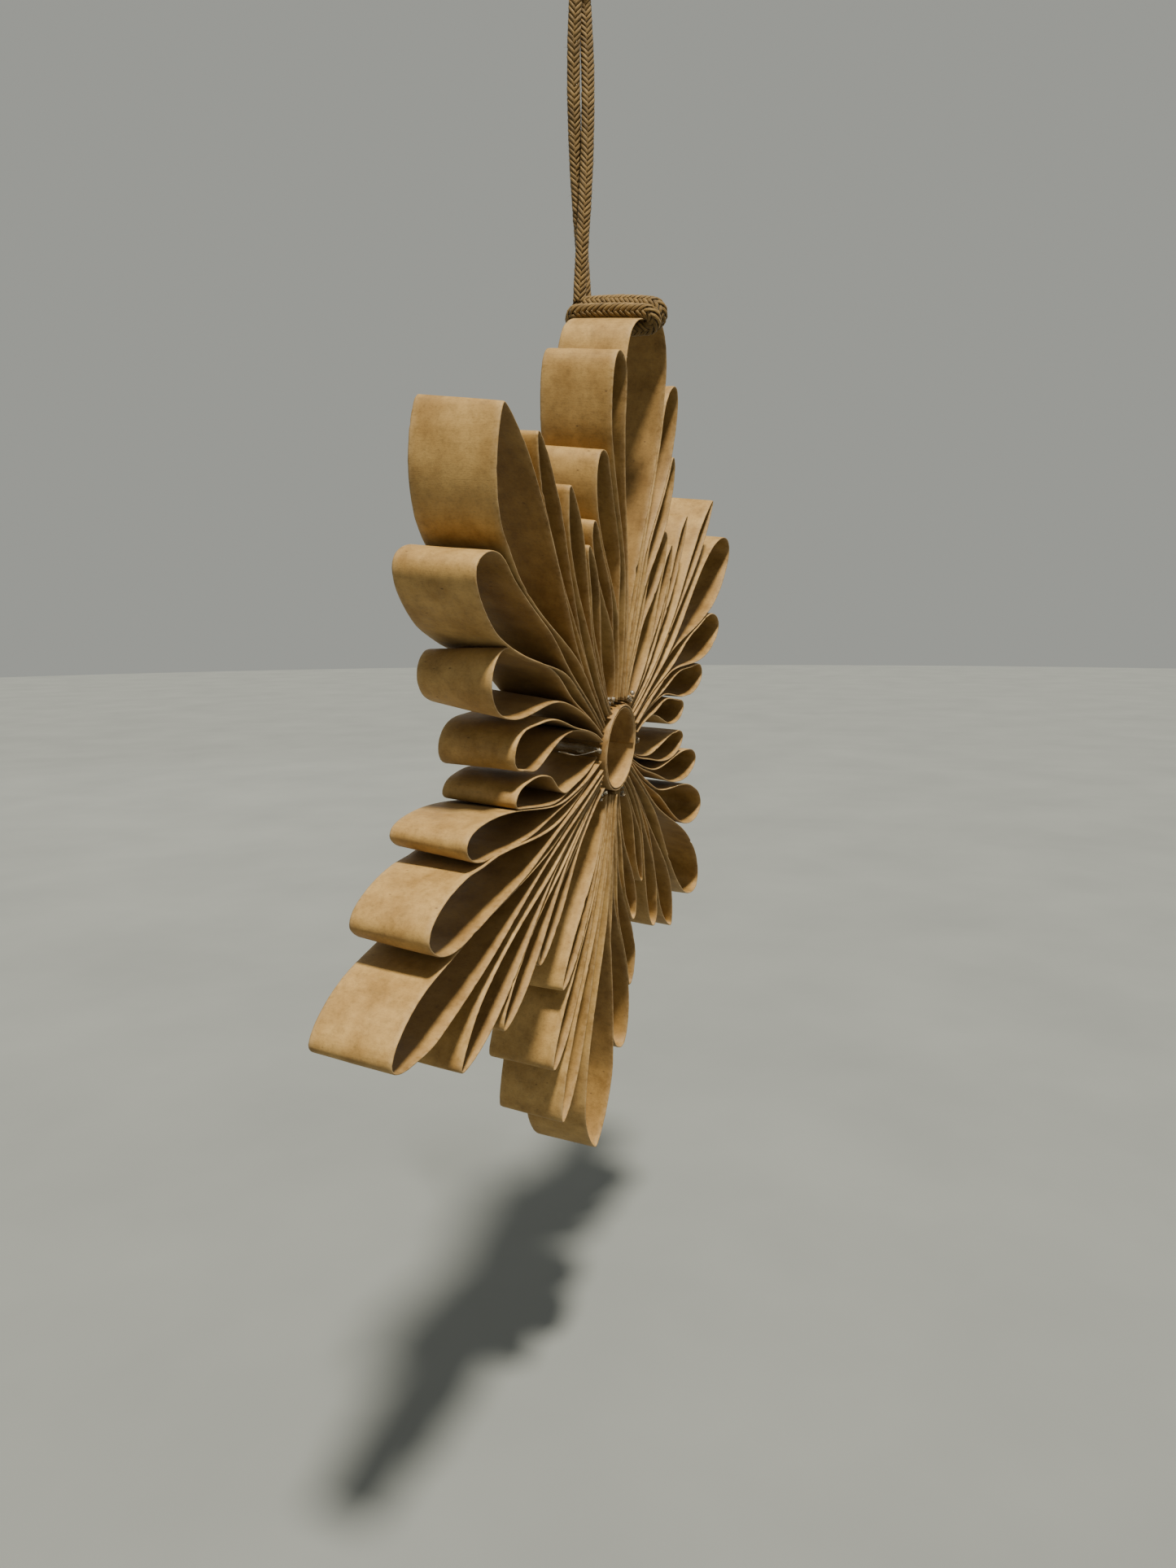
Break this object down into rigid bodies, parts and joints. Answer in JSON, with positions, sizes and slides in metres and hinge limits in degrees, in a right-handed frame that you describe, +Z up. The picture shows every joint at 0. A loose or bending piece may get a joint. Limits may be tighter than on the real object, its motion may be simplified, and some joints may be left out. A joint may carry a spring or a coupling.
{
  "type": "paper snowflake star",
  "caption": "Hanging quilled star of looped kraft card strips glued round a rolled hub ring, hung by a doubled braided cord hitched over one arm and knotted into a hanging loop",
  "frame": {"origin": "the point where the top of the cord's hanging loop rests on the hook or nail that holds it", "axes": "+Z up; the star's front face looks along -Y and it is seen square on from there with +X to the right"},
  "size_m": [0.1824, 0.0375, 0.3051],
  "materials": {
    "kraft_card": "matte",
    "kraft_card_roll": "matte",
    "braided_cord": "matte",
    "hot_melt_glue": "satin"
  },
  "bodies": {
    "hanging_loop": {"hanging_loop": "braided_cord"},
    "knot": {"cord_knot": "braided_cord", "cord_tail_front": "braided_cord", "cord_tail_back": "braided_cord"},
    "cord": {"cord_strand_left": "braided_cord", "cord_strand_right": "braided_cord"},
    "star": {"top_arm_centre_loop": "kraft_card", "top_arm_left_loop_1": "kraft_card", "top_arm_left_loop_2": "kraft_card", "top_arm_left_loop_3": "kraft_card", "top_arm_right_loop_1": "kraft_card", "top_arm_right_loop_2": "kraft_card", "top_arm_right_loop_3": "kraft_card", "upper_left_arm_centre_loop": "kraft_card", "upper_left_arm_left_loop_1": "kraft_card", "upper_left_arm_left_loop_2": "kraft_card", "upper_left_arm_left_loop_3": "kraft_card", "upper_left_arm_right_loop_1": "kraft_card", "upper_left_arm_right_loop_2": "kraft_card", "upper_left_arm_right_loop_3": "kraft_card", "lower_left_arm_centre_loop": "kraft_card", "lower_left_arm_left_loop_1": "kraft_card", "lower_left_arm_left_loop_2": "kraft_card", "lower_left_arm_left_loop_3": "kraft_card", "lower_left_arm_right_loop_1": "kraft_card", "lower_left_arm_right_loop_2": "kraft_card", "lower_left_arm_right_loop_3": "kraft_card", "bottom_arm_centre_loop": "kraft_card", "bottom_arm_left_loop_1": "kraft_card", "bottom_arm_left_loop_2": "kraft_card", "bottom_arm_left_loop_3": "kraft_card", "bottom_arm_right_loop_1": "kraft_card", "bottom_arm_right_loop_2": "kraft_card", "bottom_arm_right_loop_3": "kraft_card", "lower_right_arm_centre_loop": "kraft_card", "lower_right_arm_left_loop_1": "kraft_card", "lower_right_arm_left_loop_2": "kraft_card", "lower_right_arm_left_loop_3": "kraft_card", "lower_right_arm_right_loop_1": "kraft_card", "lower_right_arm_right_loop_2": "kraft_card", "lower_right_arm_right_loop_3": "kraft_card", "upper_right_arm_centre_loop": "kraft_card", "upper_right_arm_left_loop_1": "kraft_card", "upper_right_arm_left_loop_2": "kraft_card", "upper_right_arm_left_loop_3": "kraft_card", "upper_right_arm_right_loop_1": "kraft_card", "upper_right_arm_right_loop_2": "kraft_card", "upper_right_arm_right_loop_3": "kraft_card", "hub_ring": "kraft_card_roll", "glue_bead_1": "hot_melt_glue", "glue_bead_2": "hot_melt_glue", "glue_bead_3": "hot_melt_glue", "glue_bead_4": "hot_melt_glue", "glue_bead_5": "hot_melt_glue", "glue_bead_6": "hot_melt_glue", "cord_hitch": "braided_cord"}
  },
  "joints": [
    {"name": "cord_swing_forward", "type": "hinge", "parent": "hanging_loop", "child": "knot", "pos_m": [0, 0, -0.026], "axis": [1, 0, 0], "range_deg": [-45, 45]},
    {"name": "cord_swing_sideways", "type": "hinge", "parent": "knot", "child": "cord", "pos_m": [0, 0, -0.026], "axis": [0, 1, 0], "range_deg": [-45, 45]},
    {"name": "star_spin", "type": "hinge", "parent": "cord", "child": "star", "pos_m": [0, 0, -0.1], "axis": [0, 0, 1], "continuous": true}
  ]
}
